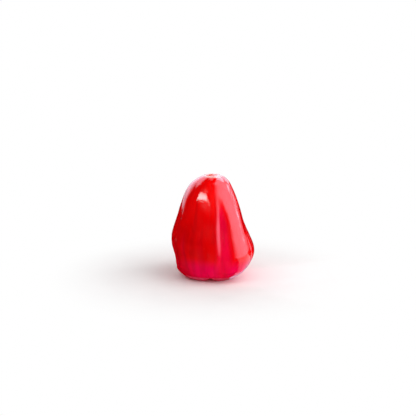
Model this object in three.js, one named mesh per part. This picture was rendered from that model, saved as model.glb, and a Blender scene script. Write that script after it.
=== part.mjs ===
// A rose apple (wax apple), standing upright on its wide blossom end. Units are millimetres, +Z is up, the table is z = 0
// and the front of the fruit faces -Y.
//
// The fruit grew as one piece, so it is one closed solid. Its skin is swept round a core line from two meridians: one
// runs up the middle of a calyx lobe and one up the cleft between two lobes. Both start in the pit at the blossom end,
// curl out under the fruit, climb the flank and end on the stalk scar in the dimple at the narrow end. Four clefts
// divide the blossom end into four fleshy lobes, a small arch lifts the front of the foot, and a broad ridge and
// shallow furrows run down the flank.
import * as THREE from "three";
import { ParametricGeometry } from "three/addons/geometries/ParametricGeometry.js";

// Driving dimensions.
const HEIGHT = 72.5;
const BELLY_RADIUS = 29.3;

// Faces round the fruit, a multiple of the four lobes so that an edge follows each cleft, and faces from end to end.
const SLICES = 88;
const STACKS = 46;

// Meridians as [share of BELLY_RADIUS, share of HEIGHT], from the pit to the stalk scar. The lobe meridian dips just
// under the table, and the part below it is pressed flat into the foot that the lobe rests on.
const LOBE_MERIDIAN = [
  [0, 0.178], [0.074, 0.16], [0.115, 0.119], [0.165, 0.069], [0.27, 0.026], [0.42, 0], [0.58, -0.006],
  [0.715, 0.02], [0.885, 0.083], [0.959, 0.178], [1, 0.287], [0.968, 0.385], [0.889, 0.481], [0.788, 0.597],
  [0.694, 0.721], [0.584, 0.838], [0.445, 0.926], [0.27, 0.982], [0.175, 1], [0.115, 0.992], [0.06, 0.979],
  [0, 0.978],
];
const CLEFT_MERIDIAN = [
  [0, 0.178], [0.094, 0.169], [0.182, 0.147], [0.262, 0.124], [0.343, 0.1], [0.424, 0.073], [0.51, 0.055],
  [0.635, 0.055], [0.805, 0.098], [0.906, 0.185], [0.973, 0.287], [0.948, 0.385], [0.871, 0.481], [0.78, 0.597],
  [0.691, 0.721], [0.584, 0.838], [0.445, 0.926], [0.27, 0.982], [0.175, 1], [0.115, 0.992], [0.06, 0.979],
  [0, 0.978],
];

// The core line as [x and y shares of BELLY_RADIUS, share of HEIGHT]: a grown fruit is never quite straight, so its
// rings drift sideways with height.
const CORE_LINE = [
  [0, 0, 0], [-0.037, 0.044, 0.4], [-0.019, 0.057, 0.69], [-0.003, 0.1, 0.884], [0.052, 0.041, 1],
];
const CORE_STEPS = 400; // how finely the core line is sampled

// The belly hangs low on the right. Each bulge swells the side it is on, in degrees from the front, by its depth in
// millimetres, and thins the far side as much; its height and spread are height shares.
const BULGES = [
  { side: 90, depth: 3.6, height: 0.226, spread: 0.127 },
  { side: 90, depth: 0.54, height: 0.383, spread: 0.127 },
];

// Clefts between the calyx lobes, in order round the fruit, in degrees from the front (-Y) towards +X. Each one swirls
// by its twist on the way in to the pit and is as deep as its depth, a share of a full cleft. The lobe after it is
// tucked in at the foot by its tuck in millimetres.
const CLEFTS = [
  { at: -4, twist: 12, tuck: 0.4, depth: 0.5 },
  { at: 76, twist: -8, tuck: 2.6, depth: 0.8 },
  { at: 179, twist: 16, tuck: 0, depth: 1 },
  { at: 267, twist: 5, tuck: 1.1, depth: 0.8 },
];
const ARCH = { at: -3, halfWidth: 11, lift: 1.1, top: 0.08 }; // lifts the front of the foot off the table
const CLEFT_SHARPNESS = { flank: 2.2, pit: 3.8 };
const CLEFT_CROWDING = 0.09; // how far the columns beside a cleft crowd towards it
const TUCK_TOP = 0.24; // the height share where a tuck ends

// A ridge and furrows down the flank: direction at the foot and half width on either side of it in degrees, depth in
// millimetres, the height share of the top, and how far the upper end leans round the fruit, in degrees.
const RIDGE = { at: 35.1, left: 33.1, right: 22.4, depth: 4.88, top: 0.89, lean: 14.4 };
const FURROWS = [
  { at: 16.2, left: 6.5, right: 8.5, depth: 1.59, top: 0.88, lean: 4.1 },
  { at: 86, left: 6, right: 9, depth: 0.7, top: 0.61, lean: 0 },
  { at: 112, left: 7, right: 5, depth: 0.6, top: 0.69, lean: 3 },
  { at: 150, left: 6, right: 11, depth: 0.9, top: 0.64, lean: -3 },
  { at: 182, left: 6, right: 5, depth: 0.7, top: 0.69, lean: 0 },
  { at: 214, left: 9, right: 5, depth: 0.9, top: 0.62, lean: 4 },
  { at: 246, left: 5, right: 7, depth: 0.6, top: 0.69, lean: -3 },
  { at: 272, left: 5, right: 7, depth: 0.6, top: 0.61, lean: 0 },
  { at: 294, left: 6, right: 6, depth: 0.45, top: 0.61, lean: 2 },
  { at: 320, left: 7, right: 6, depth: 0.5, top: 0.66, lean: -2 },
  { at: 348, left: 6, right: 6, depth: 0.35, top: 0.64, lean: 0 },
];
const FURROW_FADE = { top: 0.36, footStart: 0.014, footEnd: 0.124 }; // height shares

// Shares of a meridian's length, counted from the pit.
const CURL_END = 0.38; // the lobes curl and swirl more and more inward from here down
const RIM = { start: 0.2, end: 0.26 }; // the flank is clear of the underside after this
const FOOT = { start: 0.05, end: 0.2 }; // tucks and bulges move everything out of the pit
const DIMPLE = { start: 0.95, end: 0.99 }; // the dimple moves off the middle of the narrow end over this

// How far the stalk scar sits off the middle, in millimetres along x.
const SCAR_DRIFT = -1.8;

const FULL_TURN = 360;

const { clamp, degToRad, euclideanModulo, lerp, smoothstep } = THREE.MathUtils;

/** A smooth curve through [radius, height] shares. */
function meridian(points) {
  return new THREE.CatmullRomCurve3(
    points.map(([radius, height]) => new THREE.Vector3(radius * BELLY_RADIUS, 0, height * HEIGHT)),
  );
}

const lobeCurve = meridian(LOBE_MERIDIAN);
const cleftCurve = meridian(CLEFT_MERIDIAN);

// The core line as closely spaced points, so that its sideways drift can be looked up by height.
const coreSamples = new THREE.CatmullRomCurve3(
  CORE_LINE.map(([x, y, height]) => new THREE.Vector3(x * BELLY_RADIUS, y * BELLY_RADIUS, height * HEIGHT)),
).getPoints(CORE_STEPS);

/** The point of the core line at a height, held at its two ends. */
function coreAt(z) {
  const above = coreSamples.findIndex((sample) => sample.z >= z);
  if (above === 0) return coreSamples[0];
  if (above < 0) return coreSamples[coreSamples.length - 1];
  const low = coreSamples[above - 1];
  const high = coreSamples[above];
  return low.clone().lerp(high, (z - low.z) / (high.z - low.z));
}

/** The shortest turn from one direction to another, in degrees. */
function turn(from, to) {
  return euclideanModulo(to - from + FULL_TURN / 2, FULL_TURN) - FULL_TURN / 2;
}

/** A share u of the way round as its direction, twist, cleft depth and tuck, and 0 at a cleft to 1 mid-lobe. */
function lobeAt(u) {
  const sector = Math.min(Math.floor(u * CLEFTS.length), CLEFTS.length - 1);
  const even = u * CLEFTS.length - sector;
  const along = even - CLEFT_CROWDING * Math.sin(2 * Math.PI * even);
  const start = CLEFTS[sector];
  const end = CLEFTS[(sector + 1) % CLEFTS.length];
  return {
    direction: start.at + euclideanModulo(end.at - start.at, FULL_TURN) * along,
    twist: lerp(start.twist, end.twist, along),
    depth: lerp(start.depth, end.depth, along),
    tuck: start.tuck,
    middle: 1 - Math.abs(2 * along - 1),
  };
}

/** How far the bulges push the skin out in one direction at one height share, in millimetres. */
function bulgeHeight(direction, heightShare) {
  return BULGES.reduce((sum, bulge) => {
    const away = (heightShare - bulge.height) / bulge.spread;
    return sum + bulge.depth * Math.cos(degToRad(direction - bulge.side)) * Math.exp(-away * away);
  }, 0);
}

/** How far the arch lifts the foot in one direction at one height share, in millimetres. */
function archHeight(direction, heightShare) {
  const across = turn(ARCH.at, direction) / ARCH.halfWidth;
  return ARCH.lift * Math.exp(-across * across) * (1 - smoothstep(heightShare, 0, ARCH.top));
}

/** How deep a furrow is, or how high the ridge is, in one direction at one height share, in millimetres. */
function furrowDepth(furrow, direction, heightShare) {
  const away = turn(furrow.at, direction) - (furrow.lean * heightShare) / furrow.top;
  const across = away / (away < 0 ? furrow.left : furrow.right);
  const belowTop = 1 - smoothstep(heightShare, furrow.top - FURROW_FADE.top, furrow.top);
  const clearOfFoot = smoothstep(heightShare, FURROW_FADE.footStart, FURROW_FADE.footEnd);
  return furrow.depth * belowTop * clearOfFoot * Math.exp(-across * across);
}

/** How far the ridge lifts the flank, less how far the furrows sink it, in millimetres. */
function flankHeight(direction, heightShare) {
  const ridge = furrowDepth(RIDGE, direction, heightShare);
  return FURROWS.reduce((height, furrow) => height - furrowDepth(furrow, direction, heightShare), ridge);
}

/** The skin at a share u of the way round and a share v of the way from the pit to the stalk scar. */
function skinPoint(u, v, target) {
  const { direction, twist, depth, tuck, middle } = lobeAt(clamp(u, 0, 1));
  const share = clamp(v, 0, 1);
  const curl = 1 - smoothstep(share, 0, CURL_END);
  const sharpness = lerp(CLEFT_SHARPNESS.flank, CLEFT_SHARPNESS.pit, curl);
  const fullness = Math.pow(1 - Math.pow(1 - middle, sharpness), 1 / sharpness);
  const swell = 1 - depth * (1 - fullness);
  const t = lobeCurve.getUtoTmapping(share);
  const point = cleftCurve.getPoint(t).lerp(lobeCurve.getPoint(t), swell);

  const heightShare = point.z / HEIGHT;
  const tucked = tuck * fullness * (1 - smoothstep(heightShare, 0, TUCK_TOP));
  const outOfPit = smoothstep(share, FOOT.start, FOOT.end);
  const swollen = outOfPit * (bulgeHeight(direction, heightShare) - tucked);
  const lifted = smoothstep(share, RIM.start, RIM.end) * flankHeight(direction, heightShare);
  const radius = point.x + swollen + lifted;
  const angle = degToRad(direction + twist * curl);
  const core = coreAt(point.z);
  const x = core.x + SCAR_DRIFT * smoothstep(share, DIMPLE.start, DIMPLE.end) + radius * Math.sin(angle);
  const z = point.z + outOfPit * archHeight(direction, heightShare);
  target.set(x, core.y - radius * Math.cos(angle), Math.max(z, 0));
}

/** The fruit's skin and flesh as one mesh, its box centred over the origin. */
function makeFruit() {
  const geometry = new ParametricGeometry(skinPoint, SLICES, STACKS);
  geometry.computeBoundingBox();
  const middle = geometry.boundingBox.getCenter(new THREE.Vector3());
  geometry.translate(-middle.x, -middle.y, 0);
  const waxyRed = new THREE.MeshStandardMaterial({ color: 0xc80a14, roughness: 0.18, metalness: 0 });
  const fruit = new THREE.Mesh(geometry, waxyRed);
  fruit.name = "fruit";
  return fruit;
}

const roseApple = new THREE.Group();
roseApple.add(makeFruit());

export default roseApple;
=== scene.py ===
"""A rose apple (wax apple) that stands on the fleshy calyx lobes of its blossom end.

The fruit grew as one piece, so it is one closed mesh. Its skin is swept round the fruit's core line from
two meridians, one up the middle of a lobe and one up the cleft between two lobes. Both start in the pit at
the blossom end and end on the stalk scar. The skin then gets the furrows, folds and small lumps of a grown
fruit, and it is fitted to the CAD fruit's box. Shapes are worked out in millimetres, and the meshes are
written in metres.
"""

import logging
import math
from dataclasses import dataclass, field
from enum import Enum
from functools import partial, reduce

import bpy
import numpy as np
from bpy.types import Material, Mesh, Node, NodeSocket, NodeTree, Object, World, bpy_prop_collection
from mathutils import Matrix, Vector, noise


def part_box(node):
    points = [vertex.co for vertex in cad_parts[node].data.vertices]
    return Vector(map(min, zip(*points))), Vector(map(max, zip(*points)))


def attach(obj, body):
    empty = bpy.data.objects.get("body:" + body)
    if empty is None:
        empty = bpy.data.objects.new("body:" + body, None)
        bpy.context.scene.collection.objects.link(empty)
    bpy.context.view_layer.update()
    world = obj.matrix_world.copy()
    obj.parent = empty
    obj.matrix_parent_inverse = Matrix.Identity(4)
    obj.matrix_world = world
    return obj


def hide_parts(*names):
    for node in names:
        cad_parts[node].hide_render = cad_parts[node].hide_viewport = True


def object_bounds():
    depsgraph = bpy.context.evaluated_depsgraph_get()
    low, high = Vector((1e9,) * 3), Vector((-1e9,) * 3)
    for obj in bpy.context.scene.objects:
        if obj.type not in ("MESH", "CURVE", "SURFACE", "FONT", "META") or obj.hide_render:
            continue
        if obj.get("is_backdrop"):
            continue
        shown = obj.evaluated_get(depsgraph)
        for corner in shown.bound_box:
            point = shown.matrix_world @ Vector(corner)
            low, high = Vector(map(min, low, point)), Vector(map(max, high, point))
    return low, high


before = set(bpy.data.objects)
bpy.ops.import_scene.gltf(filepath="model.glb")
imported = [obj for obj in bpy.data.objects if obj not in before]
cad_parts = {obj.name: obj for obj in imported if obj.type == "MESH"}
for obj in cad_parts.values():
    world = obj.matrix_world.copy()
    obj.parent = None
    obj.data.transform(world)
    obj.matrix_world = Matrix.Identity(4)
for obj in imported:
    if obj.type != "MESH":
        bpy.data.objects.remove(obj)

Array = np.ndarray
Pair = tuple[float, float]
Triple = tuple[float, float, float]
Colour = tuple[float, float, float, float]

LOG = logging.getLogger("rose_apple")
CAD_NODE = "fruit"
BODY = "root"
MM = 0.001
FULL_TURN = 360.0
CURVE_STEPS = 4000
UV_MARGIN = 0.005
WHITE = "ffffff"
BACKGROUND_RAYS = ("Camera", "Glossy", "Transmission")


# ----------------------------------------------------------- small sums


def smoothstep(values: Array, low: float, high: float) -> Array:
    """Ease from 0 at the value low to 1 at the value high."""
    step = np.clip((values - low) / (high - low), 0, 1)
    return step * step * (3 - 2 * step)


def bell(distance: Array, half_width: Array | float) -> Array:
    """A smooth bump: 1 at no distance, and a third of that at half_width."""
    return np.exp(-((distance / half_width) ** 2))


def turned(direction: Array, start: float) -> Array:
    """The shortest turn from one direction to others, in degrees."""
    return (direction - start + FULL_TURN / 2) % FULL_TURN - FULL_TURN / 2


def around(azimuth: float, elevation: float, distance: float) -> Vector:
    """The place so many degrees from the front (-Y) towards +X and up from the table, and so far away."""
    across = distance * math.cos(math.radians(elevation))
    return Vector((
        across * math.sin(math.radians(azimuth)),
        -across * math.cos(math.radians(azimuth)),
        distance * math.sin(math.radians(elevation)),
    ))


def paint(code: str) -> Colour:
    """A colour as shaders take it.

    Args:
        code: The colour as six hexadecimal digits of red, green and blue.

    Returns:
        Linear red, green, blue and an alpha of 1.
    """
    shares = [int(code[k:k + 2], 16) / 255 for k in (0, 2, 4)]
    linear = [s / 12.92 if s <= 0.04045 else ((s + 0.055) / 1.055) ** 2.4 for s in shares]
    return (*linear, 1.0)


# ----------------------------------------------------- the fruit's form


@dataclass(frozen=True)
class Meridian:
    """A line up the skin from the blossom pit to the stalk scar.

    Attributes:
        points: Places on it, as shares of the belly's radius and of the fruit's height.
    """

    points: tuple[Pair, ...]

    def at(self, t: Array, scale: Pair) -> Array:
        """Follow a centripetal Catmull-Rom curve through the points.

        Args:
            t: Shares of the way, counted in points.
            scale: The belly's radius and the fruit's height.

        Returns:
            The radius and height for each share, along the last axis.
        """
        knots = np.array(self.points) * scale
        knots = np.vstack([2 * knots[0] - knots[1], knots, 2 * knots[-1] - knots[-2]])
        place = np.clip(t, 0, 1) * (len(self.points) - 1)
        first = np.minimum(place.astype(int), len(self.points) - 2)
        w = (place - first)[..., None]
        a, b, c, d = (knots[first + k] for k in range(4))
        ab, bc, cd = (np.sqrt(np.linalg.norm(step, axis=-1, keepdims=True)) for step in (b - a, c - b, d - c))
        leaving = ((b - a) / ab - (c - a) / (ab + bc) + (c - b) / bc) * bc
        arriving = ((c - b) / bc - (d - b) / (bc + cd) + (d - c) / cd) * bc
        square = -3 * b + 3 * c - 2 * leaving - arriving
        cube = 2 * b - 2 * c + leaving + arriving
        return b + leaving * w + square * w**2 + cube * w**3

    def even(self, shares: Array, scale: Pair) -> tuple[Array, float]:
        """Turn shares of the length into shares counted in points.

        Args:
            shares: Shares of the curve's length.
            scale: The belly's radius and the fruit's height.

        Returns:
            The shares counted in points, and the curve's length.
        """
        fine = np.linspace(0, 1, CURVE_STEPS)
        steps = np.linalg.norm(np.diff(self.at(fine, scale), axis=0), axis=1)
        lengths = np.concatenate([[0], np.cumsum(steps)])
        return np.interp(shares, lengths / lengths[-1], fine), float(lengths[-1])


@dataclass(frozen=True)
class Lumps:
    """Smooth, irregular lumps.

    Attributes:
        height: How high they are. Most stay within half of it.
        period: About how far it is from one to the next.
        seed: Shifts the pattern, so that no two are alike.
        squeeze: How much shorter they are along x, y and z, or longer where it is below 1.
    """

    height: float
    period: float
    seed: float
    squeeze: Triple = (1.0, 1.0, 1.0)

    def at(self, points: Array) -> Array:
        """How high they are at points that have x, y and z along the last axis."""
        flat = (points * self.squeeze).reshape(-1, 3) / self.period + self.seed
        return self.height * np.array([noise.noise(Vector(p)) for p in flat]).reshape(points.shape[:-1])


@dataclass(frozen=True)
class Cleft:
    """A cleft between two calyx lobes.

    Attributes:
        at: Its direction in degrees from the front (-Y) towards +X.
        twist: How far it swirls on the way in to the pit, in degrees.
        tuck: How far the lobe after it is tucked in at the foot, in millimetres.
        depth: How deep it is, as a share of a full cleft.
    """

    at: float
    twist: float
    tuck: float
    depth: float = 1.0


@dataclass(frozen=True)
class Bulge:
    """A swelling on one side of the belly, which thins the far side as much.

    Attributes:
        side: Its direction in degrees.
        depth: How far it swells, in millimetres.
        height: The height share of its middle.
        spread: How far it reaches up and down, as a height share.
    """

    side: float
    depth: float
    height: float
    spread: float


@dataclass(frozen=True)
class Furrow:
    """A furrow down the flank, or a ridge.

    Attributes:
        at: Its direction at the belly, in degrees.
        left: Its half width on the side of the smaller direction, in degrees.
        right: Its half width on the other side.
        depth: Its depth in millimetres, or its height.
        top: The height share where it runs out.
        lean: How far its upper end turns away from its lower one, in degrees.
    """

    at: float
    left: float
    right: float
    depth: float
    top: float
    lean: float = 0.0

    def across(self, direction: Array, height: Array) -> Array:
        """Its depth in millimetres at directions and height shares, as if it went all the way up and down."""
        away = turned(direction, self.at) - self.lean * height / self.top
        return self.depth * bell(away, np.where(away < 0, self.left, self.right))


@dataclass(frozen=True)
class Arch:
    """A place where the foot is lifted off the table.

    Attributes:
        at: Its direction in degrees.
        half_width: Half its width in degrees.
        lift: How high it is, in millimetres.
        top: The height share where it runs out.
    """

    at: float
    half_width: float
    lift: float
    top: float

    def height(self, direction: Array, height: Array) -> Array:
        """How many millimetres the skin is lifted at directions and height shares."""
        sideways = bell(turned(direction, self.at), self.half_width)
        return self.lift * sideways * (1 - smoothstep(height, 0, self.top))


@dataclass(frozen=True)
class Fold:
    """A crease across a lobe, where the flesh has curled in on itself.

    Attributes:
        lobe: Which lobe it crosses, counted from the first cleft.
        share: Where it is, as a share of the meridian's length from the pit.
        half_width: Half its width, as such a share.
        depth: Its depth in millimetres.
        sway: How far it bows towards the pit at its ends, as such a share.
    """

    lobe: int
    share: float
    half_width: float
    depth: float
    sway: float


@dataclass
class SkinMap:
    """The skin's points, and where each one is on the fruit. Every array has one row for each ring of points.

    Attributes:
        points: Places in millimetres.
        direction: Degrees round the fruit.
        share: Share of the meridian's length from the pit.
        height: Height share.
        fullness: 0 in a cleft to 1 in the middle of a lobe.
        cleft: How deep the cleft is at a point, from 0 to 1.
        lobe: Which lobe a point is on.
        length: The meridian's length in millimetres.
        furrow: How deep a furrow is at a point, in millimetres.
    """

    points: Array
    direction: Array
    share: Array
    height: Array
    fullness: Array
    cleft: Array
    lobe: Array
    length: float
    furrow: Array

    def per_vertex(self, values: Array) -> Array:
        """Values of the mesh's vertices from those of all points, which are one vertex at each end."""
        return np.concatenate([values[0, :1], values[1:-1].reshape(-1, *values.shape[2:]), values[-1, :1]])

    def to_stalk(self) -> Array:
        """How far each point is from the stalk's middle along the skin, in millimetres."""
        return (1 - self.share) * self.length

    def outward(self) -> Array:
        """Which way is out of the skin.

        Returns:
            One unit vector for each point.
        """
        wrapped = np.concatenate([self.points[:, -1:], self.points, self.points[:, :1]], axis=1)
        round_it = np.gradient(wrapped, axis=1)[:, 1:-1]
        up_it = np.gradient(self.points, axis=0)
        facing = np.cross(round_it, up_it)
        facing[0] = (0, 0, -1)
        facing[-1] = (0, 0, 1)
        return facing / np.maximum(np.linalg.norm(facing, axis=-1, keepdims=True), 1e-9)


@dataclass
class CalyxLobes:
    """The four fleshy lobes that curl in under the fruit, and the clefts between them.

    The columns of points crowd at the clefts. A lobe's sharpness says how flat its top is. The skin curls in
    up to curl_end, a share of the meridian's length, and lobes are tucked in up to tuck_top, a height share.
    """

    clefts: tuple[Cleft, ...] = (
        Cleft(at=-4, twist=12, tuck=0.4, depth=0.5),
        Cleft(at=76, twist=-8, tuck=2.6, depth=0.8),
        Cleft(at=179, twist=16, tuck=0),
        Cleft(at=267, twist=5, tuck=1.1, depth=0.8),
    )
    folds: tuple[Fold, ...] = (
        Fold(lobe=0, share=0.315, half_width=0.014, depth=0.35, sway=-0.02),
        Fold(lobe=0, share=0.16, half_width=0.012, depth=0.4, sway=0.02),
        Fold(lobe=1, share=0.13, half_width=0.012, depth=0.5, sway=0.03),
        Fold(lobe=1, share=0.21, half_width=0.014, depth=0.35, sway=0.02),
        Fold(lobe=2, share=0.12, half_width=0.012, depth=0.4, sway=0.03),
        Fold(lobe=2, share=0.19, half_width=0.014, depth=0.45, sway=-0.02),
        Fold(lobe=3, share=0.325, half_width=0.016, depth=0.45, sway=-0.025),
        Fold(lobe=3, share=0.15, half_width=0.012, depth=0.4, sway=0.03),
    )
    arch: Arch = Arch(at=-3, half_width=11, lift=1.1, top=0.08)
    crowding: float = 0.09
    flank_sharpness: float = 2.2
    pit_sharpness: float = 3.8
    curl_end: float = 0.38
    tuck_top: float = 0.24
    fold_ends: Pair = (0.35, 0.8)
    fold_wobble: float = 0.006
    wobble_period: float = 9.0

    def spread(self, way_round: Array) -> dict[str, Array]:
        """Place columns of points on the lobes.

        Args:
            way_round: Shares of the way round, counted in lobes.

        Returns:
            For each column: its lobe, direction, twist, the clefts' depth, the lobe's tuck, and 0 at a cleft
            to 1 mid-lobe.
        """
        starts = np.array([[cleft.at, cleft.twist, cleft.depth, cleft.tuck] for cleft in self.clefts])
        ends = np.roll(starts, -1, axis=0)
        ends[-1, 0] += FULL_TURN
        lobe = np.minimum((way_round * len(self.clefts)).astype(int), len(self.clefts) - 1)
        even = way_round * len(self.clefts) - lobe
        along = even - self.crowding * np.sin(2 * np.pi * even)
        between = starts[lobe] + (ends[lobe] - starts[lobe]) * along[:, None]
        return {
            "lobe": lobe,
            "direction": between[:, 0],
            "twist": between[:, 1],
            "depth": between[:, 2],
            "tuck": starts[lobe, 3],
            "middle": 1 - np.abs(2 * along - 1),
        }

    def fullness(self, middle: Array, inward: Array) -> Array:
        """How full the lobes are, where middle is 0 at a cleft to 1 mid-lobe and inward is 1 in the pit."""
        sharpness = self.flank_sharpness + (self.pit_sharpness - self.flank_sharpness) * inward
        return (1 - (1 - middle) ** sharpness) ** (1 / sharpness)

    def creases(self, skin: SkinMap) -> Array:
        """How deep the folds across the lobes are.

        Args:
            skin: The smooth skin.

        Returns:
            Millimetres for each point.
        """
        depth = np.zeros_like(skin.share)
        for fold in self.folds:
            bowed = skin.share - fold.share + fold.sway * (1 - skin.fullness)
            uneven = Lumps(self.fold_wobble, self.wobble_period, fold.lobe + fold.share).at(skin.points)
            across = smoothstep(skin.fullness, *self.fold_ends) * (skin.lobe == fold.lobe)
            depth += fold.depth * across * bell(bowed + uneven, fold.half_width)
        return depth


@dataclass
class Flank:
    """The belly and the shoulders, with the furrows that run down them.

    Furrows and ridges start at the foot's height shares and run out over the height share fade.
    """

    bulges: tuple[Bulge, ...] = (
        Bulge(side=90, depth=3.6, height=0.226, spread=0.127),
        Bulge(side=90, depth=0.54, height=0.383, spread=0.127),
    )
    ridges: tuple[Furrow, ...] = (
        Furrow(at=35.1, left=33.1, right=22.4, depth=4.88, top=0.89, lean=14.4),
    )
    furrows: tuple[Furrow, ...] = (
        Furrow(at=16.2, left=6.5, right=8.5, depth=1.59, top=0.88, lean=4.1),
        Furrow(at=60.6, left=1.5, right=2.8, depth=0.64, top=0.60, lean=0.3),
        Furrow(at=86, left=6, right=9, depth=0.7, top=0.61),
        Furrow(at=112, left=7, right=5, depth=0.6, top=0.69, lean=3),
        Furrow(at=150, left=6, right=11, depth=0.9, top=0.64, lean=-3),
        Furrow(at=182, left=6, right=5, depth=0.7, top=0.69),
        Furrow(at=214, left=9, right=5, depth=0.9, top=0.62, lean=4),
        Furrow(at=246, left=5, right=7, depth=0.6, top=0.69, lean=-3),
        Furrow(at=272, left=5, right=7, depth=0.6, top=0.61),
        Furrow(at=294, left=6, right=6, depth=0.45, top=0.61, lean=2),
        Furrow(at=320, left=7, right=6, depth=0.5, top=0.66, lean=-2),
        Furrow(at=348, left=6, right=6, depth=0.35, top=0.64),
    )
    fade: float = 0.36
    foot: Pair = (0.014, 0.124)

    def pushed_out(self, direction: Array, height: Array) -> Array:
        """How many millimetres the bulges push the skin out at directions and height shares."""
        sideways = (bulge.depth * np.cos(np.radians(direction - bulge.side)) for bulge in self.bulges)
        return sum(s * bell(height - bulge.height, bulge.spread) for bulge, s in zip(self.bulges, sideways))

    def along(self, lines: tuple[Furrow, ...], direction: Array, height: Array) -> Array:
        """How deep furrows are, or how high ridges are.

        Args:
            lines: The furrows or ridges.
            direction: Degrees round the fruit.
            height: Height shares.

        Returns:
            Millimetres for each point.
        """
        below_top = (1 - smoothstep(height, line.top - self.fade, line.top) for line in lines)
        depth = sum(share * line.across(direction, height) for line, share in zip(lines, below_top))
        return smoothstep(height, *self.foot) * depth


@dataclass
class StalkScar:
    """The pleated dimple at the narrow end, and the corky scar that the stalk left in it.

    Lengths are in millimetres. The pleats are deepest at pleat_reach from the middle, and wander sideways.
    """

    radius: float = 1.5
    rim_height: float = 0.22
    rim_width: float = 0.4
    hollow: float = 0.35
    hollow_floor: float = 0.3
    cork: Lumps = Lumps(height=0.12, period=0.7, seed=5.0)
    cork_fade: float = 0.5
    pleats: int = 9
    pleat_depth: float = 0.16
    pleat_reach: float = 4.6
    pleat_length: float = 2.6
    pleat_start: float = 1.2
    wander: Lumps = Lumps(height=2.5, period=8.0, seed=3.0)

    def relief(self, skin: SkinMap) -> Array:
        """How far the scar's rim stands out, and the pleats round it sink.

        Args:
            skin: The smooth skin.

        Returns:
            Millimetres for each point.
        """
        away = skin.to_stalk()
        rim = self.rim_height * bell(away - self.radius, self.rim_width)
        hollow = self.hollow * (1 - smoothstep(away, self.hollow_floor, self.radius))
        cork = self.cork.at(skin.points) * (1 - smoothstep(away, self.radius, self.radius + self.cork_fade))
        swing = np.radians(skin.direction) * self.pleats + self.wander.at(skin.points)
        pleats = self.pleat_depth * (0.5 + 0.5 * np.cos(swing))
        pleats *= bell(away - self.pleat_reach, self.pleat_length)
        return rim - hollow + cork - pleats * smoothstep(away, self.radius, self.radius + self.pleat_start)


@dataclass
class Relief:
    """The small lumps of a grown skin, in millimetres.

    The ribs run up the flank: they are read on a cylinder of radius 1 that is rib_length high. The ripples
    come in patches. A start is in shares of the meridian's length, and an end is a distance from the stalk.
    """

    swells: Lumps = Lumps(height=0.42, period=17.0, seed=1.0)
    hills: Lumps = Lumps(height=0.1, period=7.0, seed=2.0)
    ribs: Lumps = Lumps(height=0.16, period=0.2, seed=4.0)
    dimples: Lumps = Lumps(height=0.04, period=3.2, seed=6.0, squeeze=(1.0, 1.0, 0.8))
    ripples: Lumps = Lumps(height=0.06, period=2.4, seed=8.0, squeeze=(0.5, 0.5, 1.0))
    patches: Lumps = Lumps(height=1.0, period=9.0, seed=7.0, squeeze=(1.0, 1.0, 0.35))
    full_patch: float = 0.3
    rib_length: float = 0.9
    flank_start: Pair = (0.26, 0.36)
    flank_end: Pair = (18.0, 38.0)
    swell_end: Pair = (1.0, 9.0)
    hill_end: Pair = (2.0, 8.0)

    def height(self, skin: SkinMap) -> Array:
        """How far the lumps stand out.

        Args:
            skin: The smooth skin.

        Returns:
            Millimetres for each point.
        """
        angle, to_stalk = np.radians(skin.direction), skin.to_stalk()
        cylinder = np.stack([np.sin(angle), np.cos(angle), skin.share * self.rib_length], axis=-1)
        flank = smoothstep(skin.share, *self.flank_start) * smoothstep(to_stalk, *self.flank_end)
        patches = smoothstep(self.patches.at(skin.points), 0.0, self.full_patch)
        return (
            self.swells.at(skin.points) * smoothstep(to_stalk, *self.swell_end)
            + self.hills.at(skin.points) * smoothstep(to_stalk, *self.hill_end)
            + self.ribs.at(cylinder) * flank
            + self.dimples.at(skin.points) * flank
            + self.ripples.at(skin.points) * flank * patches
        )


# ------------------------------------------------------------- finishes


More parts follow.
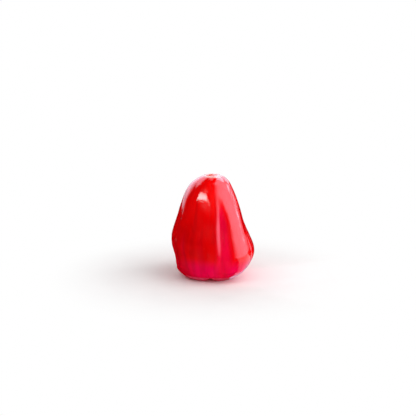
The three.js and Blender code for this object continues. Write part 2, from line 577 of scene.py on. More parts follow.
class NodeSheet:
    """A node tree that is being filled in."""

    def __init__(self, tree: NodeTree) -> None:
        """Start with an empty tree."""
        self.tree = tree
        tree.nodes.clear()

    def add(self, kind: str, fed: dict[str | int, object] | None = None, **settings: object) -> Node:
        """Add a node.

        Args:
            kind: Its type, without the ShaderNode in front.
            fed: What its inputs get, by their names or numbers.
            settings: Its own settings by name.

        Returns:
            The new node.
        """
        node = self.tree.nodes.new(kind if kind.startswith("Node") else "ShaderNode" + kind)
        for name, value in settings.items():
            setattr(node, name, value)
        for name, value in (fed or {}).items():
            self.feed(node.inputs[name], value)
        return node

    def feed(self, socket: NodeSocket, value: object) -> None:
        """Link a socket to another one, or set its number or colour.

        Args:
            socket: The input socket.
            value: An output socket, a number or a colour.
        """
        if isinstance(value, NodeSocket):
            self.tree.links.new(value, socket)
        else:
            socket.default_value = value

    def sum(self, operation: str, *terms: object) -> NodeSocket:
        """The result of a Math node on numbers and sockets."""
        return self.add("Math", dict(enumerate(terms)), operation=operation).outputs[0]

    def ease(self, value: object, low: object, high: object, start: float = 0, end: float = 1) -> NodeSocket:
        """Ease from start, where the value is low, to end, where it is high."""
        limits = dict(enumerate((value, low, high, start, end)))
        return self.add("MapRange", limits, interpolation_type="SMOOTHSTEP").outputs[0]

    def tint(self, share: object, under: object, over: object) -> NodeSocket:
        """Lay one colour over another, where share is how much of the upper one shows."""
        return self.add("Mix", {0: share, 6: under, 7: over}, data_type="RGBA").outputs[2]

    def bump(self, height: NodeSocket, strength: float, depth: float) -> NodeSocket:
        """The normal of a surface with dents that are up to depth metres deep."""
        return self.add("Bump", {"Height": height, "Strength": strength, "Distance": depth}).outputs[0]

    def place(self, group: NodeTree, **values: object) -> bpy_prop_collection:
        """Place a node group, with numbers or sockets for its inputs, and give its outputs."""
        return self.add("Group", values, node_tree=group).outputs

    def stored(self, name: str, output: str = "Fac") -> NodeSocket:
        """What the mesh says about its points under a name: a number, or a vector from the output Vector."""
        return self.add("Attribute", attribute_type="GEOMETRY", attribute_name=name).outputs[output]

    def length(self, vector: NodeSocket) -> NodeSocket:
        """A vector's length."""
        return self.add("VectorMath", {0: vector}, operation="LENGTH").outputs["Value"]

    def seen_by(self, *kinds: str) -> NodeSocket:
        """1 for rays of these kinds, such as Camera, and 0 for all others."""
        rays = self.add("LightPath").outputs
        return reduce(partial(self.sum, "MAXIMUM"), (rays[f"Is {kind} Ray"] for kind in kinds))

    def show(self, shader: Node, under: Node | None = None, share: object = 1.0) -> None:
        """Make a shader the material's surface.

        Args:
            shader: The shader.
            under: The shader that shows where the first one doesn't.
            share: How much of the first one shows.
        """
        if under:
            shader = self.add("MixShader", {0: share, 1: under.outputs[0], 2: shader.outputs[0]})
        self.add("OutputMaterial", {"Surface": shader.outputs[0]})


def new_group(name: str, inputs: dict[str, object], outputs: tuple[str, ...]) -> tuple[NodeSheet, dict, dict]:
    """Start a shader node group.

    Args:
        name: The group's name.
        inputs: Its inputs' names and default values, where None is a vector.
        outputs: Its outputs' names.

    Returns:
        The sheet to fill in, the inputs' sockets by name and the outputs' sockets by name.
    """
    tree = bpy.data.node_groups.new(name, "ShaderNodeTree")
    for label, default in inputs.items():
        kind = "NodeSocketVector" if default is None else "NodeSocketFloat"
        socket = tree.interface.new_socket(name=label, in_out="INPUT", socket_type=kind)
        if default is not None:
            socket.default_value = default
    for label in outputs:
        tree.interface.new_socket(name=label, in_out="OUTPUT", socket_type="NodeSocketFloat")
    sheet = NodeSheet(tree)
    way_in = sheet.add("NodeGroupInput")
    way_out = sheet.add("NodeGroupOutput")
    return sheet, {s.name: s for s in way_in.outputs if s.name}, {s.name: s for s in way_out.inputs if s.name}


@dataclass
class SkinEffects:
    """The node groups that the materials share."""

    mottle: NodeTree = field(init=False)
    streaks: NodeTree = field(init=False)
    specks: NodeTree = field(init=False)

    def __post_init__(self) -> None:
        """Build the groups."""
        self.mottle = self.build_mottle()
        self.streaks = self.build_streaks()
        self.specks = self.build_specks()

    def build_mottle(self) -> NodeTree:
        """Build the group for cloudy patches.

        Returns:
            A group whose Patches are from 0 to 1 and about Size metres across.
        """
        inputs = {"Vector": None, "Size": 0.01, "Low": 0.4, "High": 0.6}
        sheet, given, out = new_group("mottle", inputs, ("Patches",))
        scale = sheet.sum("DIVIDE", 1.0, given["Size"])
        cloud = sheet.add("TexNoise", {"Vector": given["Vector"], "Scale": scale, "Detail": 3.0})
        sheet.feed(out["Patches"], sheet.ease(cloud.outputs[0], given["Low"], given["High"]))
        return sheet.tree

    def build_streaks(self) -> NodeTree:
        """Build the group for fine lines that run from the blossom end to the stalk.

        Returns:
            A group with Count lines or so round the fruit, each broken up along its length.
        """
        inputs = {"Grain": None, "Count": 60.0, "Low": 0.5, "High": 0.7}
        sheet, given, out = new_group("streaks", inputs, ("Lines", "Height"))
        scale = sheet.sum("DIVIDE", given["Count"], 2 * math.pi)
        stretch = sheet.add("VectorMath", {0: given["Grain"], "Scale": scale}, operation="SCALE")
        lines = sheet.add("TexNoise", {"Vector": stretch.outputs[0], "Scale": 1.0, "Detail": 2.0})
        sheet.feed(out["Lines"], sheet.ease(lines.outputs[0], given["Low"], given["High"]))
        sheet.feed(out["Height"], lines.outputs[0])
        return sheet.tree

    def build_specks(self) -> NodeTree:
        """Build the group for small round specks.

        Returns:
            A group with specks about Spacing metres apart, of which Share show.
        """
        inputs = {"Vector": None, "Spacing": 0.002, "Radius": 0.2, "Share": 0.3}
        sheet, given, out = new_group("specks", inputs, ("Specks",))
        scale = sheet.sum("DIVIDE", 1.0, given["Spacing"])
        cells = sheet.add("TexVoronoi", {"Vector": given["Vector"], "Scale": scale})
        chance = sheet.add("SeparateColor", {0: cells.outputs["Color"]})
        chosen = sheet.sum("LESS_THAN", chance.outputs[0], given["Share"])
        radius = sheet.sum("MULTIPLY", given["Radius"], sheet.ease(chance.outputs[1], 0.0, 1.0, 0.5, 1.0))
        near = sheet.ease(cells.outputs["Distance"], sheet.sum("MULTIPLY", radius, 0.4), radius, 1.0, 0.0)
        sheet.feed(out["Specks"], sheet.sum("MULTIPLY", near, chosen))
        return sheet.tree


class Reading(Enum):
    """What the fruit's mesh says about each of its points."""

    GRAIN = "grain"
    HEIGHT = "height"
    STALK = "stalk"
    FURROW = "furrow"
    CLEFT = "cleft"


def new_material(name: str) -> tuple[Material, NodeSheet]:
    """Start a material.

    Args:
        name: The material's name.

    Returns:
        The material and its empty sheet.
    """
    material = bpy.data.materials.new(name)
    material.use_nodes = True
    return material, NodeSheet(material.node_tree)


def readings(sheet: NodeSheet) -> dict[str, NodeSocket]:
    """Read what the fruit's mesh says about its points.

    Args:
        sheet: The material's sheet.

    Returns:
        The readings' sockets by name, and "place" for the object's coordinates.
    """
    read = {"place": sheet.add("TexCoord").outputs["Object"]}
    for reading in Reading:
        read[reading.value] = sheet.stored(reading.value, "Vector" if reading is Reading.GRAIN else "Fac")
    return read


@dataclass(frozen=True)
class WaxySkin:
    """The red skin: glossy wax over flesh that lets a little light in.

    A colour's heights are height shares, its side runs from -1 on the left to 1 on the right, and its ring is
    in millimetres from the stalk. Each says where the colour starts and where it is full.
    """

    deep_red: str = "dc0003"
    bright_red: str = "f00204"
    painted_top_light_red: str = "ff0202"
    painted_light_red: str = "ff0206"
    rose: str = "f80c1c"
    maroon: str = "ac0410"
    painted_furrow_shade: str = "ff0440"
    foot_crimson_and_reflection: str = "ff0056"
    painted_lip_highlight: str = "ff6c94"
    pale: str = "f4aca0"
    salmon: str = "f46a58"
    tan: str = "d8a060"
    speck_pink: str = "f46050"
    scuff_brown: str = "6a2418"
    painted_cleft_shade: str = "5c0410"
    painted_top_light_heights: Pair = (0.45, 0.85)
    painted_light_side: Pair = (0.15, 0.6)
    left_shade_sides: Pair = (-0.75, -0.3)
    painted_bounce_heights: Pair = (0.34, 0.2)
    foot_heights: Pair = (0.27, 0.15)
    lip_highlight_heights: Pair = (0.062, 0.036)
    pale_ring: Pair = (8.2, 6.6)
    salmon_ring: Pair = (4.9, 4.2)
    tan_ring: Pair = (2.6, 1.6)
    furrow_depths: Pair = (0.1, 1.2)
    cleft_depths: Pair = (0.35, 0.95)

    def colour(self, sheet: NodeSheet, effects: SkinEffects, read: dict[str, NodeSocket]) -> NodeSocket:
        """Lay the skin's colours over each other; some of them are painted light and shade.

        Args:
            sheet: The material's sheet.
            effects: The shared node groups.
            read: The sockets that readings gives.

        Returns:
            The colour's socket.
        """
        place, grain, height = read["place"], read["grain"], read["height"]
        side = sheet.add("SeparateXYZ", {0: grain}).outputs[0]
        # Painted shade: the painted light below is held back on the far left side, so that side stays darker.
        outside_left_shade = sheet.ease(side, *self.left_shade_sides, 0.25, 1.0)
        clouds = sheet.place(effects.mottle, Vector=place, Size=0.016, Low=0.38, High=0.66)[0]
        fine = sheet.place(effects.streaks, Grain=grain, Count=230.0, Low=0.52, High=0.72)[0]
        broad, waves = sheet.place(effects.streaks, Grain=grain, Count=34.0, Low=0.42, High=0.62)
        specks = sheet.place(effects.specks, Vector=place, Spacing=0.0021, Radius=0.17, Share=0.28)[0]
        scuffs = sheet.place(effects.mottle, Vector=place, Size=0.0035, Low=0.72, High=0.78)[0]
        from_stalk = sheet.sum("ADD", read["stalk"], sheet.sum("MULTIPLY_ADD", waves, 1.8, -0.9))
        painted_bounce_low = sheet.sum("MULTIPLY", outside_left_shade, sheet.ease(height, *self.painted_bounce_heights, 0.0, 0.8))
        foot_tint_and_reflection = sheet.sum("MULTIPLY", outside_left_shade, sheet.ease(height, *self.foot_heights, 0.0, 0.85))
        layers = (
            # Painted light: the top is lighter red, in place of more light from above.
            (sheet.ease(height, *self.painted_top_light_heights), self.painted_top_light_red),
            # Painted light: the right side, towards the window light, is lighter red.
            (sheet.ease(side, *self.painted_light_side, 0.0, 0.9), self.painted_light_red),
            # Painted light: the lower body, which faces down into shade, is lighter red.
            (painted_bounce_low, self.painted_light_red),
            # Crimson towards the foot: partly the skin's own tint, partly a painted reflection of the pale
            # table.
            (foot_tint_and_reflection, self.foot_crimson_and_reflection),
            # Painted shade: the furrows are tinted a deeper crimson.
            (sheet.ease(read["furrow"], *self.furrow_depths, 0.0, 0.9), self.painted_furrow_shade),
            # Painted highlight: a pale pink lip at the very foot, where the curled edge catches light from
            # the table.
            (sheet.ease(height, *self.lip_highlight_heights), self.painted_lip_highlight),
            (sheet.sum("MULTIPLY", fine, 0.28), self.rose),
            (sheet.sum("MULTIPLY", broad, 0.25), self.maroon),
            (sheet.sum("MULTIPLY", specks, 0.4), self.speck_pink),
            (sheet.ease(from_stalk, *self.pale_ring), self.pale),
            (sheet.ease(from_stalk, *self.salmon_ring), self.salmon),
            (sheet.ease(from_stalk, *self.tan_ring), self.tan),
            (sheet.sum("MULTIPLY", scuffs, 0.6), self.scuff_brown),
            # Painted shade: the clefts between the lobes are darker.
            (sheet.ease(read["cleft"], *self.cleft_depths, 0.0, 0.9), self.painted_cleft_shade),
        )
        colour = sheet.tint(clouds, paint(self.deep_red), paint(self.bright_red))
        for share, over in layers:
            colour = sheet.tint(share, colour, paint(over))
        return colour

    def material(self, effects: SkinEffects) -> Material:
        """Make the material.

        Args:
            effects: The shared node groups.

        Returns:
            The material.
        """
        material, sheet = new_material("waxy_skin")
        read = readings(sheet)
        bloom = sheet.place(effects.mottle, Vector=read["place"], Size=0.009, Low=0.3, High=0.75)[0]
        pores = sheet.place(effects.mottle, Vector=read["place"], Size=0.0009, Low=0.2, High=0.8)[0]
        sheet.show(sheet.add("BsdfPrincipled", {
            "Base Color": self.colour(sheet, effects, read),
            "Roughness": sheet.ease(bloom, 0.0, 1.0, 0.08, 0.16),
            "Normal": sheet.bump(pores, 0.35, 0.00005),
            "IOR": 1.45,
            "Specular IOR Level": 0.5,
            "Subsurface Weight": 0.1,
            "Subsurface Radius": (1.0, 0.25, 0.2),
            "Subsurface Scale": 0.0015,
            "Coat Weight": sheet.ease(bloom, 0.0, 1.0, 1.0, 0.86),
            "Coat Roughness": 0.07,
            "Coat IOR": 1.5,
        }))
        return material


@dataclass(frozen=True)
class CorkyScar:
    """The dry scar that the stalk left, with the rings and pits of cork."""

    straw: str = "a88850"
    bark: str = "5a3c20"

    def material(self, effects: SkinEffects) -> Material:
        """Make the material.

        Args:
            effects: The shared node groups.

        Returns:
            The material.
        """
        material, sheet = new_material("stalk_scar")
        read = readings(sheet)
        patches = sheet.place(effects.mottle, Vector=read["place"], Size=0.0008, Low=0.35, High=0.65)[0]
        rays = sheet.place(effects.streaks, Grain=read["grain"], Count=40.0, Low=0.4, High=0.65)[0]
        pits = sheet.place(effects.specks, Vector=read["place"], Spacing=0.0005, Radius=0.35, Share=0.5)[0]
        colour = paint(self.straw)
        for share in (patches, sheet.sum("MULTIPLY", rays, 0.5), sheet.ease(read["stalk"], 0.9, 0.2)):
            colour = sheet.tint(share, colour, paint(self.bark))
        sheet.show(sheet.add("BsdfPrincipled", {
            "Base Color": colour,
            "Roughness": sheet.ease(patches, 0.0, 1.0, 0.7, 0.95),
            "Normal": sheet.bump(sheet.sum("SUBTRACT", patches, pits), 0.8, 0.00012),
        }))
        return material


@dataclass(frozen=True)
class WitheredPit:
    """The dried remains of the flower, deep in the pit at the blossom end."""

    tan: str = "7a4a2a"
    umber: str = "2a100c"

    def material(self, effects: SkinEffects) -> Material:
        """Make the material.

        Args:
            effects: The shared node groups.

        Returns:
            The material.
        """
        material, sheet = new_material("withered_pit")
        read = readings(sheet)
        patches = sheet.place(effects.mottle, Vector=read["place"], Size=0.0015, Low=0.35, High=0.65)[0]
        rays, ridges = sheet.place(effects.streaks, Grain=read["grain"], Count=60.0, Low=0.4, High=0.6)
        colour = sheet.tint(patches, paint(self.umber), paint(self.tan))
        sheet.show(sheet.add("BsdfPrincipled", {
            "Base Color": sheet.tint(sheet.sum("MULTIPLY", rays, 0.6), colour, paint(self.umber)),
            "Roughness": sheet.ease(rays, 0.0, 1.0, 0.75, 0.95),
            "Normal": sheet.bump(ridges, 0.8, 0.0002),
        }))
        return material


class Finish(Enum):
    """The fruit's materials, in the order of its material slots."""

    SKIN = 0
    SCAR = 1
    PIT = 2


# ------------------------------------------------------------ the fruit


# The upper part of both meridians.
SHOULDER = (
    (0.584, 0.838), (0.445, 0.926), (0.27, 0.982), (0.175, 1), (0.115, 0.992), (0.06, 0.979), (0, 0.978),
)


def corners(*pairs: tuple[Array, Array]) -> Array:
    """The places of faces' corners on the UV map, face by face, from the u and v of each corner in turn."""
    return np.stack([np.stack(np.broadcast_arrays(*pair), axis=-1) for pair in pairs], axis=-2).reshape(-1, 2)


def store(mesh: Mesh, name: str, values: Array) -> None:
    """Store a number or a vector on each point of a mesh.

    Args:
        mesh: The mesh.
        name: The attribute's name.
        values: One number or row for each point.
    """
    kind, slot = ("FLOAT", "value") if values.ndim == 1 else ("FLOAT_VECTOR", "vector")
    layer = mesh.attributes.new(name, kind, "POINT")
    layer.data.foreach_set(slot, values.astype(np.float32).ravel())


@dataclass
class RoseApple:
    """The whole fruit as one closed mesh. Lengths are in millimetres.

    Attributes:
        low: The lowest corner of the CAD fruit's box, in metres.
        high: Its highest corner.
        slices: How many columns of points there are.
        stacks: How many rings of faces there are.
        core_line: Places on it: x and y as shares of the belly's radius, and z as a share of the height.
        scar_drift: How far the scar is off the core line in x, and the shares where that starts and ends.
        stalk_rings: How much closer the rings are at the stalk, and over which share of the length.
        under_rings: The same under the fruit.
        foot: The shares where the foot's shapes start, and where they are full.
        rim: The same for the flank's shapes.
        pit_floor: The share below which the relief dies out.
        pit_share: The share up to which the dried remains reach.
        cleft_shade: The shares where the clefts' painted shade starts to fade, and where it ends.
        grain_length: How long the grain's cylinder is, where its radius is 1.
    """

    low: Vector
    high: Vector
    slices: int = 392
    stacks: int = 252
    belly_share: float = 0.4043
    lobe_meridian: Meridian = Meridian((
        (0, 0.178), (0.074, 0.16), (0.115, 0.119), (0.165, 0.069), (0.27, 0.026), (0.42, 0), (0.58, -0.006),
        (0.715, 0.02), (0.885, 0.083), (0.959, 0.178), (1, 0.287), (0.968, 0.385), (0.889, 0.481),
        (0.788, 0.597), (0.694, 0.721), *SHOULDER,
    ))
    cleft_meridian: Meridian = Meridian((
        (0, 0.178), (0.094, 0.169), (0.182, 0.147), (0.262, 0.124), (0.343, 0.1), (0.424, 0.073),
        (0.51, 0.055), (0.635, 0.055), (0.805, 0.098), (0.906, 0.185), (0.973, 0.287), (0.948, 0.385),
        (0.871, 0.481), (0.78, 0.597), (0.691, 0.721), *SHOULDER,
    ))
    core_line: tuple[Triple, ...] = (
        (0, 0, 0), (-0.037, 0.044, 0.4), (-0.019, 0.057, 0.69), (-0.003, 0.1, 0.884), (0.052, 0.041, 1),
    )
    scar_drift: Triple = (-1.8, 0.95, 0.99)
    stalk_rings: Pair = (3.2, 0.045)
    under_rings: Pair = (0.5, 0.12)
    foot: Pair = (0.05, 0.2)
    rim: Pair = (0.2, 0.26)
    pit_floor: float = 0.04
    pit_share: float = 0.035
    cleft_shade: Pair = (0.2, 0.27)
    grain_length: float = 0.55
    lobes: CalyxLobes = field(default_factory=CalyxLobes)
    flank: Flank = field(default_factory=Flank)
    scar: StalkScar = field(default_factory=StalkScar)
    relief: Relief = field(default_factory=Relief)

    @property
    def scale(self) -> Pair:
        """The belly's radius and the fruit's height."""
        height = (self.high.z - self.low.z) / MM
        return self.belly_share * height, height

    def ring_shares(self) -> Array:
        """Where the rings of points are, as shares of the meridian's length: close together at both ends.

        Returns:
            One share for each ring.
        """
        fine = np.linspace(0, 1, CURVE_STEPS)
        at_stalk, stalk_reach = self.stalk_rings
        under, under_reach = self.under_rings
        crowd = 1 + at_stalk * bell(1 - fine, stalk_reach) + under * bell(fine - under_reach, under_reach)
        count = np.concatenate([[0], np.cumsum((crowd[1:] + crowd[:-1]) / 2)])
        return np.interp(np.linspace(0, 1, self.stacks + 1), count / count[-1], fine)

    def core_at(self, z: Array) -> Array:
        """Where the core line is at each height.

        Args:
            z: Heights.

        Returns:
            Its x and y along the last axis.
        """
        fine = np.linspace(0, 1, CURVE_STEPS // 10)
        lines = (Meridian(tuple((place[k], place[2]) for place in self.core_line)) for k in (0, 1))
        sides = [line.at(fine, self.scale) for line in lines]
        return np.stack([np.interp(z, side[:, 1], side[:, 0]) for side in sides], axis=-1)

    def sweep(self) -> SkinMap:
        """Sweep the smooth skin round the core line.

        Returns:
            The skin's points and where they are on the fruit.
        """
        share = np.repeat(self.ring_shares()[:, None], self.slices, axis=1)
        columns = self.lobes.spread((np.arange(self.slices) / self.slices + 0.5) % 1)
        direction, lobe = (np.broadcast_to(columns[name], share.shape) for name in ("direction", "lobe"))
        inward = 1 - smoothstep(share, 0, self.lobes.curl_end)
        fullness = self.lobes.fullness(columns["middle"][None], inward)
        in_cleft = columns["depth"] * (1 - fullness)
        t, length = self.lobe_meridian.even(share, self.scale)
        sunk, full = (meridian.at(t, self.scale) for meridian in (self.cleft_meridian, self.lobe_meridian))
        radius, z = np.moveaxis(full + (sunk - full) * in_cleft[..., None], -1, 0)
        height = z / self.scale[1]
        tucked = columns["tuck"] * fullness * (1 - smoothstep(height, 0, self.lobes.tuck_top))
        out_of_pit = smoothstep(share, *self.foot)
        z = z + out_of_pit * self.lobes.arch.height(direction, height)
        swollen = out_of_pit * (self.flank.pushed_out(direction, height) - tucked)
        flank = smoothstep(share, *self.rim)
        furrow = flank * self.flank.along(self.flank.furrows, direction, height)
        radius = radius + swollen - furrow + flank * self.flank.along(self.flank.ridges, direction, height)
        angle = np.radians(direction + columns["twist"] * inward)
        core = self.core_at(z)
        drift, near, nearest = self.scar_drift
        x = core[..., 0] + drift * smoothstep(share, near, nearest) + radius * np.sin(angle)
        points = np.stack([x, core[..., 1] - radius * np.cos(angle), z], axis=-1)
        return SkinMap(points, direction, share, height, fullness, in_cleft, lobe, length, furrow)

    def roughen(self, skin: SkinMap) -> None:
        """Give the smooth skin its relief, press the feet flat and fit it to the CAD fruit's box.

        Args:
            skin: The skin, whose points are changed.
        """
        out = self.relief.height(skin) - self.lobes.creases(skin) + self.scar.relief(skin)
        out *= smoothstep(skin.share, 0.0, self.pit_floor)
        skin.points = skin.points + skin.outward() * out[..., None]
        for end in (0, -1):
            skin.points[end] = skin.points[end].mean(axis=0)
        skin.points[..., 2] = np.maximum(skin.points[..., 2], 0)
        low, high = skin.points.min(axis=(0, 1)), skin.points.max(axis=(0, 1))
        box_low, box_high = np.array(self.low) / MM, np.array(self.high) / MM
        skin.points = box_low + (skin.points - low) * (box_high - box_low) / (high - low)

    def mesh(self, skin: SkinMap) -> Mesh:
        """Join the rings of points into one closed mesh, with a fan of triangles at either end.

        Args:
            skin: The finished skin.

        Returns:
            The mesh, in metres, with its UV map.
        """
        vertices = skin.per_vertex(skin.points) * MM
        column = np.arange(self.slices)
        after = (column + 1) % self.slices
        low = 1 + self.slices * np.arange(self.stacks - 2)[:, None]
        high = low + self.slices
        quads = np.stack([low + column, low + after, high + after, high + column], axis=-1).reshape(-1, 4)
        last = np.full_like(column, len(vertices) - 1)
        bottom_fan = np.stack([0 * column, 1 + after, 1 + column], axis=-1)
        top_fan = np.stack([last, last - self.slices + column, last - self.slices + after], axis=-1)
        mesh = bpy.data.meshes.new("rose_apple")
        mesh.from_pydata(vertices.tolist(), [], bottom_fan.tolist() + quads.tolist() + top_fan.tolist())
        mesh.shade_smooth()
        left, right = column / self.slices, (column + 1) / self.slices
        middle = (left + right) / 2
        share = skin.share[:, :1]
        below, above = share[1:-2], share[2:-1]
        places = np.concatenate([
            corners((middle, share[0]), (right, share[1]), (left, share[1])),
            corners((left, below), (right, below), (right, above), (left, above)),
            corners((middle, share[-1]), (left, share[-2]), (right, share[-2])),
        ])
        wrap = mesh.uv_layers.new(name="OFBake")
        wrap.data.foreach_set("uv", (UV_MARGIN + (1 - 2 * UV_MARGIN) * places).astype(np.float32).ravel())
        return mesh

    def label(self, mesh: Mesh, skin: SkinMap) -> None:
        """Store on each point what the materials need to know about it.

        Args:
            mesh: The fruit's mesh.
            skin: The skin that it was made from.
        """
        angle = np.radians(skin.direction)
        values = {
            Reading.GRAIN: np.stack([np.sin(angle), -np.cos(angle), skin.share * self.grain_length], axis=-1),
            Reading.HEIGHT: skin.height,
            Reading.STALK: skin.to_stalk(),
            Reading.FURROW: skin.furrow,
            # The cleft reading carries the clefts' painted shade.
            Reading.CLEFT: skin.cleft**2 * (1 - smoothstep(skin.share, *self.cleft_shade)),
        }
        for reading, value in values.items():
            store(mesh, reading.value, skin.per_vertex(value))

    def dress(self, fruit: Object, skin: SkinMap, effects: SkinEffects) -> None:
        """Give the fruit its finishes.

        Args:
            fruit: The fruit.
            skin: The skin that it was made from.
            effects: The shared node groups.
        """
        finishes = {Finish.SKIN: WaxySkin(), Finish.SCAR: CorkyScar(), Finish.PIT: WitheredPit()}
        for finish in Finish:
            fruit.data.materials.append(finishes[finish].material(effects))
        shares = (skin.share[1:, 0] + skin.share[:-1, 0]) / 2
        bands = np.full(self.stacks, Finish.SKIN.value)
        bands[(1 - shares) * skin.length < self.scar.radius] = Finish.SCAR.value
        bands[shares < self.pit_share] = Finish.PIT.value
        fruit.data.polygons.foreach_set("material_index", np.repeat(bands, self.slices))

    def build(self, effects: SkinEffects) -> Object:
        """Build the fruit in place of the CAD one.

        Args:
            effects: The shared node groups.

        Returns:
            The fruit.
        """
        skin = self.sweep()
        self.roughen(skin)
        mesh = self.mesh(skin)
        self.label(mesh, skin)
        fruit = bpy.data.objects.new("rose_apple", mesh)
        bpy.context.scene.collection.objects.link(fruit)
        self.dress(fruit, skin, effects)
        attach(fruit, BODY)
        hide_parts(CAD_NODE)
        return fruit


# ----------------------------------------------------------- the studio


def set_up(
    name: str,
    points: list[Vector],
    faces: list[tuple[int, ...]],
    material: Material,
    hidden_from: tuple[str, ...] = (),
) -> Object:
    """Make a piece of the studio, which isn't part of the fruit.

    Args:
        name: Its name.
        points: Its points.
        faces: Its faces, as numbers of points.
        material: Its material.
        hidden_from: The kinds of rays that pass through it.

    Returns:
        The piece.
    """
    mesh = bpy.data.meshes.new(name)
    mesh.from_pydata(points, [], faces)
    mesh.materials.append(material)
    piece = bpy.data.objects.new(name, mesh)
    for rays in hidden_from:
        setattr(piece, f"visible_{rays}", False)
    bpy.context.scene.collection.objects.link(piece)
    piece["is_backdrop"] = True
    return piece


def grid_faces(width: int, rows: int) -> list[tuple[int, int, int, int]]:
    """The faces of a grid of points, from the number of points in a row and the number of rows."""
    starts = (row * width + k for row in range(rows - 1) for k in range(width - 1))
    return [(k, k + 1, k + 1 + width, k + width) for k in starts]


@dataclass(frozen=True)
class WhiteLaminate:
    """The smooth white top of the table."""

    white: str = "f8f8f8"
    dull_white: str = "f4f4f4"

    def material(self, effects: SkinEffects, fade: Pair) -> Material:
        """Make the material, which fades into the white background far from the fruit.

        Args:
            effects: The shared node groups.
            fade: How far from the middle the fading starts and ends, in metres.

        Returns:
            The material.
        """
        material, sheet = new_material("white_laminate")
        place = sheet.add("TexCoord").outputs["Object"]
        cloud = sheet.place(effects.mottle, Vector=place, Size=0.03, Low=0.3, High=0.7)[0]
        top = sheet.add("BsdfPrincipled", {
            "Base Color": sheet.tint(cloud, paint(self.white), paint(self.dull_white)),
            "Roughness": 0.6,
            "Specular IOR Level": 0.2,
        })
        share = sheet.sum("MULTIPLY", sheet.ease(sheet.length(place), *fade), sheet.seen_by(*BACKGROUND_RAYS))
        sheet.show(sheet.add("Emission"), top, share)
        return material


@dataclass(frozen=True)
class Screen:
    """A curved studio screen: a lit softbox, or a red cloth that only reflections show.

    Attributes:
        name: Its name.
        azimuths: Where it starts and ends, in degrees from the front (-Y) towards +X.
        elevations: Its lower and upper edge, in degrees above the fruit's middle.
        distance: Metres from the fruit's middle.
        brightness: How much light it sheds, where 1 is as bright as white and 0 is a cloth.
        gleam: How bright it is in reflections.
        edges: How solid it is at the first and at the last azimuth, from 0 to 1.
        ramps: The shares of its width over which it turns solid from either edge.
        hem: The share of its height over which it turns solid from its lower and upper edge.
        rises: How much higher its lower and its upper edge are at its last azimuth, in degrees.
        gleam_tint: Its colour in reflections.
        cloth_red: Its colour where it is a cloth.
        mesh_size: How many points it has along it and up it.
    """

    name: str
    azimuths: Pair
    elevations: Pair
    distance: float
    brightness: float = 0.0
    gleam: float = 1.0
    edges: Pair = (1.0, 1.0)
    ramps: Pair = (0.3, 0.3)
    hem: float = 0.0
    rises: Pair = (0.0, 0.0)
    gleam_tint: str = "ffe8ff"
    cloth_red: str = "a00408"
    mesh_size: tuple[int, int] = (25, 9)

    def material(self) -> Material:
        """Make its glowing cloth.

        Returns:
            The material.
        """
        material, sheet = new_material(self.name)
        place = sheet.add("SeparateXYZ", {0: sheet.stored("place", "Vector")})
        across, up = place.outputs[:2]
        solid = sheet.ease(across, 0.0, self.ramps[0], self.edges[0], 1.0)
        solid = sheet.sum("MULTIPLY", solid, sheet.ease(across, 1.0, 1.0 - self.ramps[1], self.edges[1], 1.0))
        if self.hem:
            for start, end in ((0.0, self.hem), (1.0, 1.0 - self.hem)):
                solid = sheet.sum("MULTIPLY", solid, sheet.ease(up, start, end))
        light = {"Color": paint(self.cloth_red)}
        if self.brightness:
            mirrored = sheet.seen_by("Glossy")
            light["Color"] = sheet.tint(mirrored, paint(WHITE), paint(self.gleam_tint))
            light["Strength"] = sheet.ease(mirrored, 0.0, 1.0, self.brightness, self.gleam)
        sheet.show(sheet.add("Emission", light), sheet.add("BsdfTransparent"), solid)
        return material

    def build(self, middle: Vector) -> Object:
        """Stand the screen up.

        Args:
            middle: What it curves round.

        Returns:
            The screen.
        """
        width, rows = self.mesh_size
        grid = np.meshgrid(np.linspace(0, 1, rows), np.linspace(0, 1, width), indexing="ij")
        up, across = (share.ravel() for share in grid)
        azimuths = self.azimuths[0] + across * (self.azimuths[1] - self.azimuths[0])
        lower, upper = (edge + rise * across for edge, rise in zip(self.elevations, self.rises))
        elevations = lower + up * (upper - lower)
        points = [middle + around(a, e, self.distance) for a, e in zip(azimuths, elevations)]
        hidden_from = ("camera",) if self.brightness else ("camera", "diffuse", "shadow")
        if not self.gleam:
            hidden_from = (*hidden_from, "glossy")
        screen = set_up(self.name, points, grid_faces(width, rows), self.material(), hidden_from)
        store(screen.data, "place", np.stack([across, up, 0 * up], axis=-1))
        return screen


@dataclass(frozen=True)
class TableCloth:
    """A cloth on the table that only reflections show.

    Attributes:
        name: Its name.
        azimuths: Where it starts and ends, in degrees from the front (-Y) towards +X.
        radii: How far from the fruit's middle it starts and ends, in metres.
        colour: The colour that reflections show near the fruit.
        far_colour: The colour that they show far from it.
        blend: Where the near colour ends and the far one starts, in metres from the middle.
        lift: How far above the table it lies, in metres.
        sides: How many faces it has.
    """

    name: str
    azimuths: Pair
    radii: Pair
    colour: str = "a00408"
    far_colour: str = "a00408"
    blend: Pair = (0.026, 0.08)
    lift: float = 0.0002
    sides: int = 60

    def material(self) -> Material:
        """Make its glowing cloth.

        Returns:
            The material.
        """
        material, sheet = new_material(self.name)
        far = sheet.ease(sheet.length(sheet.add("TexCoord").outputs["Object"]), *self.blend)
        colour = sheet.tint(far, paint(self.colour), paint(self.far_colour))
        sheet.show(sheet.add("Emission", {"Color": colour}))
        return material

    def build(self) -> Object:
        """Lay the cloth.

        Returns:
            The cloth.
        """
        azimuths = np.linspace(*self.azimuths, self.sides + 1)
        points = [around(float(a), 0, r) + Vector((0, 0, self.lift)) for r in self.radii for a in azimuths]
        hidden_from = ("camera", "diffuse", "shadow", "transmission")
        return set_up(self.name, points, grid_faces(self.sides + 1, 2), self.material(), hidden_from)


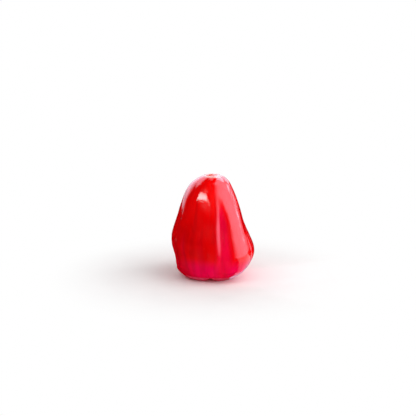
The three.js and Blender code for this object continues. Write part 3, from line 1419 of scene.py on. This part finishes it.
@dataclass
class Studio:
    """The table, the softboxes, the red cloths and the white room round them.

    The table fades into the background between two distances from the middle. The room lights everything as
    brightly as fill says, and gleam is its colour in reflections.
    """

    middle: Vector
    table_radius: float = 6.0
    table_sides: int = 96
    fade: Pair = (0.035, 0.12)
    fill: float = 0.16
    gleam: Colour = (1.0, 0.95, 1.15, 1.0)
    screens: tuple[Screen, ...] = (
        Screen("window_light", azimuths=(20, 150), elevations=(-4, 76), distance=0.9, brightness=2.35,
               gleam=2.3, edges=(0.0, 0.12), ramps=(0.3, 0.485), hem=0.045),
        Screen("rim_light", azimuths=(110, 160), elevations=(36, 72), distance=0.7, brightness=0.3,
               gleam=5.0, edges=(0.0, 0.0), ramps=(0.12, 0.2), hem=0.1),
        Screen("back_light", azimuths=(132, 242), elevations=(7, 38), distance=1.0, brightness=1.2,
               gleam=2.0, edges=(1.0, 0.0), ramps=(0.1, 0.24), hem=0.2),
        Screen("shoulder_light", azimuths=(106, 128), elevations=(7, 26), distance=0.75, brightness=0.3,
               gleam=4.2, edges=(0.0, 0.0), ramps=(0.45, 0.45), hem=0.42),
        Screen("crown_light", azimuths=(105, 264), elevations=(36, 56), distance=0.8, brightness=1.5,
               gleam=2.0, edges=(0.0, 0.0), ramps=(0.1, 0.1), hem=0.3),
        Screen("front_light", azimuths=(-45, 60), elevations=(25, 80), distance=1.2, brightness=1.1,
               gleam=0.0),
        Screen("square_light", azimuths=(-60, -15), elevations=(33.4, 45.8), distance=0.8, brightness=4.5,
               gleam=9.0, gleam_tint=WHITE, rises=(9.2, 1.5)),
        Screen("front_cloth", azimuths=(-134, 150), elevations=(-3, 88), distance=3.0, edges=(0.0, 1.0),
               ramps=(0.08, 0.3)),
        Screen("roof_cloth", azimuths=(-140, 100), elevations=(62, 90), distance=2.8),
        Screen("back_cloth", azimuths=(150, 185), elevations=(-3, 7), distance=1.1),
        Screen("left_cloth", azimuths=(-180, -100), elevations=(-22, 10.5), distance=0.09),
    )
    cloths: tuple[TableCloth, ...] = (
        TableCloth("front_table_cloth", azimuths=(250, 402), radii=(0.005, 3.0)),
        TableCloth("back_table_cloth", azimuths=(115, 185), radii=(0.005, 3.0)),
        TableCloth("left_table_cloth", azimuths=(185, 250), radii=(0.005, 0.2)),
        # The side cloth is darker near the fruit: a painted shadow of the fruit on the table, which only
        # reflections show.
        TableCloth("side_table_cloth", azimuths=(42, 115), radii=(0.005, 3.0), colour="d6a8c2",
                   far_colour="ffe4ee"),
    )

    def table(self, effects: SkinEffects) -> Object:
        """Lay the table top.

        Args:
            effects: The shared node groups.

        Returns:
            The table top.
        """
        count = self.table_sides
        rim = [around(FULL_TURN * k / count, 0, self.table_radius) for k in range(count)]
        faces = [(0, k + 1, (k + 1) % count + 1) for k in range(count)]
        material = WhiteLaminate().material(effects, self.fade)
        return set_up("table_top", [Vector((0, 0, 0)), *rim], faces, material)

    def room(self) -> World:
        """Make the room: white where it is seen, pinkish in mirrors, and plain soft light on everything.

        Returns:
            The world.
        """
        world = bpy.data.worlds.new("white_room")
        world.use_nodes = True
        sheet = NodeSheet(world.node_tree)
        background = sheet.add("Background", {
            "Color": sheet.tint(sheet.seen_by("Glossy"), paint(WHITE), self.gleam),
            "Strength": sheet.ease(sheet.seen_by(*BACKGROUND_RAYS), 0.0, 1.0, self.fill, 1.0),
        })
        sheet.add("OutputWorld", {"Surface": background.outputs[0]})
        bpy.context.scene.world = world
        return world

    def build(self, effects: SkinEffects) -> None:
        """Set the studio up.

        Args:
            effects: The shared node groups.
        """
        self.table(effects)
        self.room()
        for screen in self.screens:
            screen.build(self.middle)
        for cloth in self.cloths:
            cloth.build()


@dataclass
class Viewpoint:
    """The camera: in front of the fruit and a little above it.

    Attributes:
        fruit_height: The fruit's height in metres.
        aim_x: How far right of the middle it looks, in metres.
        aim_share: How far up the fruit it looks, as a height share.
        elevation: How far above the table it is, seen from the fruit's foot, in degrees.
        distance: Metres from the fruit's foot.
        lens: Its focal length, in millimetres.
        sensor: The width of its sensor, in millimetres.
        clip: The nearest and the farthest that it sees, in metres.
    """

    fruit_height: float
    aim_x: float = -0.0035
    aim_share: float = 0.674
    elevation: float = 16.0
    distance: float = 0.828
    lens: float = 100.0
    sensor: float = 36.0
    clip: Pair = (0.01, 50.0)

    def build(self) -> Object:
        """Set the camera up and make it the scene's.

        Returns:
            The camera.
        """
        data = bpy.data.cameras.new("camera")
        data.lens = self.lens
        data.sensor_width = self.sensor
        data.clip_start, data.clip_end = self.clip
        camera = bpy.data.objects.new("camera", data)
        camera.location = around(0, self.elevation, self.distance)
        aim = Vector((self.aim_x, 0, self.aim_share * self.fruit_height))
        camera.rotation_euler = (aim - camera.location).to_track_quat("-Z", "Y").to_euler()
        bpy.context.scene.collection.objects.link(camera)
        bpy.context.scene.camera = camera
        return camera


def main() -> None:
    """Build the fruit, its studio and the camera."""
    logging.basicConfig(level=logging.INFO, format="%(name)s: %(message)s")
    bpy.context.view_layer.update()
    effects = SkinEffects()
    low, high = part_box(CAD_NODE)
    fruit = RoseApple(low, high).build(effects)
    LOG.info("%s: %d faces", fruit.name, len(fruit.data.polygons))
    height = high.z - low.z
    Studio(middle=Vector((0, 0, height / 2))).build(effects)
    LOG.info("studio: table top, softboxes and cloths")
    camera = Viewpoint(height).build()
    LOG.info("%s: %.0f mm lens", camera.name, camera.data.lens)
    bpy.context.scene.view_settings.view_transform = "Standard"
    low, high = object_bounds()


if __name__ == "__main__":
    main()
